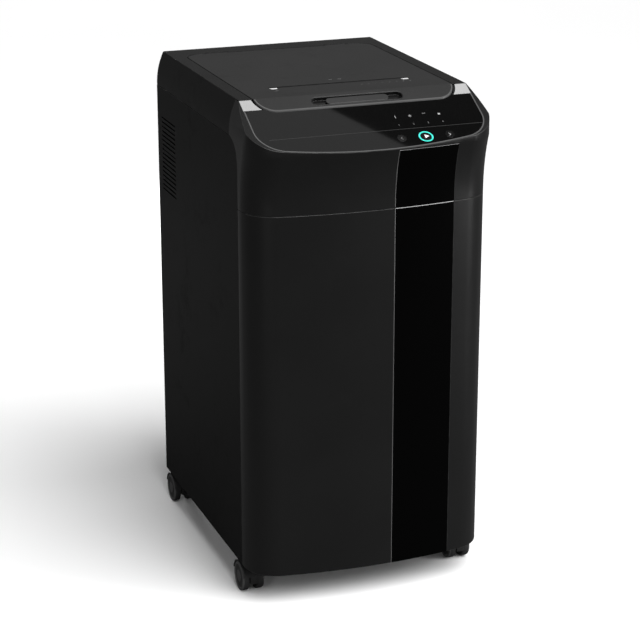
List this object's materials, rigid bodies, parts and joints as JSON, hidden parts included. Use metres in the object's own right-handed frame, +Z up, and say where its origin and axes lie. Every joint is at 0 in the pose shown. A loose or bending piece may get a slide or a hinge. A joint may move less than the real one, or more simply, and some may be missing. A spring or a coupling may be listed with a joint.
{
  "type": "paper shredder",
  "caption": "Floor-standing auto-feed office shredder with sloping gloss console, hinged lid with hand-feed slot, pull-out waste bin and twin-wheel casters.",
  "frame": {"origin": "on the floor, under the middle of the bounding box", "axes": "+Z up, -Y towards the front, +X to the right as seen from the front"},
  "size_m": [0.415, 0.55, 0.838],
  "materials": {
    "panel_plastic": "satin black, fine texture",
    "base_plastic": "matt black",
    "top_plastic": "black, fine texture",
    "shoulder_plastic": "satin black",
    "front_plastic": "satin black",
    "inner_plastic": "matt dark grey",
    "gloss_black": "high gloss",
    "console_gloss": "high gloss",
    "bead_grey": "light grey, satin",
    "trim_silver": "satin silver",
    "ring_glow": "lit ring",
    "key_gloss": "gloss",
    "lid_plastic": "satin dark grey",
    "guide_plastic": "satin black",
    "latch_bezel_plastic": "satin",
    "latch_plastic": "satin dark grey",
    "tray_plastic": "satin grey",
    "nylon_grey": "moulded nylon",
    "roller_rubber": "ribbed",
    "tub_plastic": "grey",
    "caster_plastic": "satin dark grey",
    "wheel_plastic": "satin dark grey, lighter rim",
    "rocker_plastic": "gloss",
    "board_green": "circuit board",
    "screw_steel": "zinc, dark",
    "pin_steel": "ground",
    "spring_steel": "drawn wire",
    "deck_steel": "coated sheet",
    "plate_steel": "zinc plated",
    "rod_steel": "turned",
    "cutter_steel": "hardened, oiled",
    "gear_steel": "sintered",
    "motor_steel": "can",
    "bush_brass": "sintered"
  },
  "bodies": {
    "cabinet": {"side_panel_left": "panel_plastic", "side_panel_right": "panel_plastic", "rear_panel": "panel_plastic", "rear_screws": "screw_steel", "base_plate": "base_plastic", "machine_deck": "deck_steel", "top_frame": "top_plastic", "hinge_pins": "pin_steel", "shoulder_left": "shoulder_plastic", "shoulder_right": "shoulder_plastic", "upper_strip": "gloss_black", "front_housing": "front_plastic", "head_frame": "inner_plastic", "console_fascia": "console_gloss", "console_bead": "bead_grey", "corner_trims": "trim_silver", "power_ring": "ring_glow", "key_board": "board_green", "paper_tray": "tray_plastic", "feed_motor": "motor_steel", "side_plates": "plate_steel", "tie_rods": "rod_steel", "cutter_bushes": "bush_brass", "motor": "motor_steel", "control_board": "board_green", "fan_frame": "guide_plastic", "mains_inlet": "guide_plastic"},
    "lid": {"lid_shell": "lid_plastic", "lid_bead": "bead_grey", "lid_liner": "inner_plastic", "slot_guide": "guide_plastic", "latch_bezel": "latch_bezel_plastic", "plate_springs": "spring_steel"},
    "latch": {"latch_bar": "latch_plastic", "latch_hooks": "nylon_grey"},
    "pressure_plate": {"pressure_plate": "guide_plastic"},
    "reverse_key": {"reverse_key": "key_gloss"},
    "power_key": {"power_key": "key_gloss"},
    "forward_key": {"forward_key": "key_gloss"},
    "feed_roller_front": {"feed_roller_front": "roller_rubber"},
    "feed_roller_rear": {"feed_roller_rear": "roller_rubber"},
    "cutter_front": {"cutter_front": "cutter_steel", "cutter_gear_front": "gear_steel"},
    "cutter_rear": {"cutter_rear": "cutter_steel", "cutter_gear_rear": "gear_steel"},
    "reduction_gear": {"reduction_gear": "nylon_grey"},
    "motor_pinion": {"motor_pinion": "pin_steel"},
    "fan": {"fan_rotor": "guide_plastic"},
    "rocker": {"rocker": "rocker_plastic"},
    "bin": {"bin_front": "front_plastic", "bin_strip": "gloss_black", "bin_tub": "tub_plastic"},
    "caster_front_left": {"caster_front_left": "caster_plastic"},
    "wheels_front_left": {"caster_front_left_wheels": "wheel_plastic"},
    "caster_front_right": {"caster_front_right": "caster_plastic"},
    "wheels_front_right": {"caster_front_right_wheels": "wheel_plastic"},
    "caster_rear_left": {"caster_rear_left": "caster_plastic"},
    "wheels_rear_left": {"caster_rear_left_wheels": "wheel_plastic"},
    "caster_rear_right": {"caster_rear_right": "caster_plastic"},
    "wheels_rear_right": {"caster_rear_right_wheels": "wheel_plastic"}
  },
  "joints": [
    {"name": "lid_hinge", "type": "hinge", "parent": "cabinet", "child": "lid", "pos_m": [0, 0.2315, 0.835], "axis": [-1, 0, 0], "range_deg": [0, 95]},
    {"name": "latch_press", "type": "slide", "parent": "lid", "child": "latch", "axis": [0, 0.472, -0.8816], "range_m": [0, 0.0025], "stiffness_N_per_m": 400, "springref_m": -0.002},
    {"name": "plate_lift", "type": "slide", "parent": "lid", "child": "pressure_plate", "axis": [0, 0, 1], "range_m": [0, 0.005], "stiffness_N_per_m": 400, "springref_m": -0.005, "deforming": ["plate_springs"]},
    {"name": "reverse_key_press", "type": "slide", "parent": "cabinet", "child": "reverse_key", "axis": [0, 0.472, -0.8816], "range_m": [0, 0.001], "stiffness_N_per_m": 800, "springref_m": -0.001},
    {"name": "power_key_press", "type": "slide", "parent": "cabinet", "child": "power_key", "axis": [0, 0.472, -0.8816], "range_m": [0, 0.001], "stiffness_N_per_m": 800, "springref_m": -0.001},
    {"name": "forward_key_press", "type": "slide", "parent": "cabinet", "child": "forward_key", "axis": [0, 0.472, -0.8816], "range_m": [0, 0.001], "stiffness_N_per_m": 800, "springref_m": -0.001},
    {"name": "bin_slide", "type": "slide", "parent": "cabinet", "child": "bin", "axis": [0, -1, 0], "range_m": [0, 0.4]},
    {"name": "cutter_front_spin", "type": "hinge", "parent": "cabinet", "child": "cutter_front", "pos_m": [0, -0.099, 0.7124], "axis": [1, 0, 0], "continuous": true},
    {"name": "cutter_rear_spin", "type": "hinge", "parent": "cabinet", "child": "cutter_rear", "pos_m": [0, -0.055, 0.7124], "axis": [1, 0, 0], "continuous": true},
    {"name": "reduction_spin", "type": "hinge", "parent": "cabinet", "child": "reduction_gear", "pos_m": [0.145, -0.019, 0.7124], "axis": [1, 0, 0], "continuous": true},
    {"name": "pinion_spin", "type": "hinge", "parent": "cabinet", "child": "motor_pinion", "pos_m": [0.145, 0.02725, 0.7124], "axis": [1, 0, 0], "continuous": true},
    {"name": "feed_front_spin", "type": "hinge", "parent": "cabinet", "child": "feed_roller_front", "pos_m": [0, -0.096, 0.7595], "axis": [1, 0, 0], "continuous": true},
    {"name": "feed_rear_spin", "type": "hinge", "parent": "cabinet", "child": "feed_roller_rear", "pos_m": [0, -0.058, 0.7595], "axis": [1, 0, 0], "continuous": true},
    {"name": "fan_spin", "type": "hinge", "parent": "cabinet", "child": "fan", "pos_m": [-0.095, 0.265, 0.735], "axis": [0, 1, 0], "continuous": true},
    {"name": "rocker_tilt", "type": "hinge", "parent": "cabinet", "child": "rocker", "pos_m": [-0.102, 0.265, 0.115], "axis": [1, 0, 0], "range_deg": [-20, 0]},
    {"name": "swivel_front_left", "type": "hinge", "parent": "cabinet", "child": "caster_front_left", "pos_m": [-0.1885, -0.177, 0.055], "axis": [0, 0, 1], "continuous": true},
    {"name": "roll_front_left", "type": "hinge", "parent": "caster_front_left", "child": "wheels_front_left", "pos_m": [-0.1885, -0.157, 0.025], "axis": [1, 0, 0], "continuous": true},
    {"name": "swivel_front_right", "type": "hinge", "parent": "cabinet", "child": "caster_front_right", "pos_m": [0.1885, -0.177, 0.055], "axis": [0, 0, 1], "continuous": true},
    {"name": "roll_front_right", "type": "hinge", "parent": "caster_front_right", "child": "wheels_front_right", "pos_m": [0.1885, -0.157, 0.025], "axis": [1, 0, 0], "continuous": true},
    {"name": "swivel_rear_left", "type": "hinge", "parent": "cabinet", "child": "caster_rear_left", "pos_m": [-0.1885, 0.227, 0.055], "axis": [0, 0, 1], "continuous": true},
    {"name": "roll_rear_left", "type": "hinge", "parent": "caster_rear_left", "child": "wheels_rear_left", "pos_m": [-0.1885, 0.247, 0.025], "axis": [1, 0, 0], "continuous": true},
    {"name": "swivel_rear_right", "type": "hinge", "parent": "cabinet", "child": "caster_rear_right", "pos_m": [0.1885, 0.227, 0.055], "axis": [0, 0, 1], "continuous": true},
    {"name": "roll_rear_right", "type": "hinge", "parent": "caster_rear_right", "child": "wheels_rear_right", "pos_m": [0.1885, 0.247, 0.025], "axis": [1, 0, 0], "continuous": true}
  ],
  "couplings": [
    {"joint": "cutter_rear_spin", "follows": "cutter_front_spin", "ratio": -1},
    {"joint": "reduction_spin", "follows": "cutter_front_spin", "ratio": 1.5714},
    {"joint": "pinion_spin", "follows": "cutter_front_spin", "ratio": -6.7347},
    {"joint": "feed_rear_spin", "follows": "feed_front_spin", "ratio": -1}
  ]
}
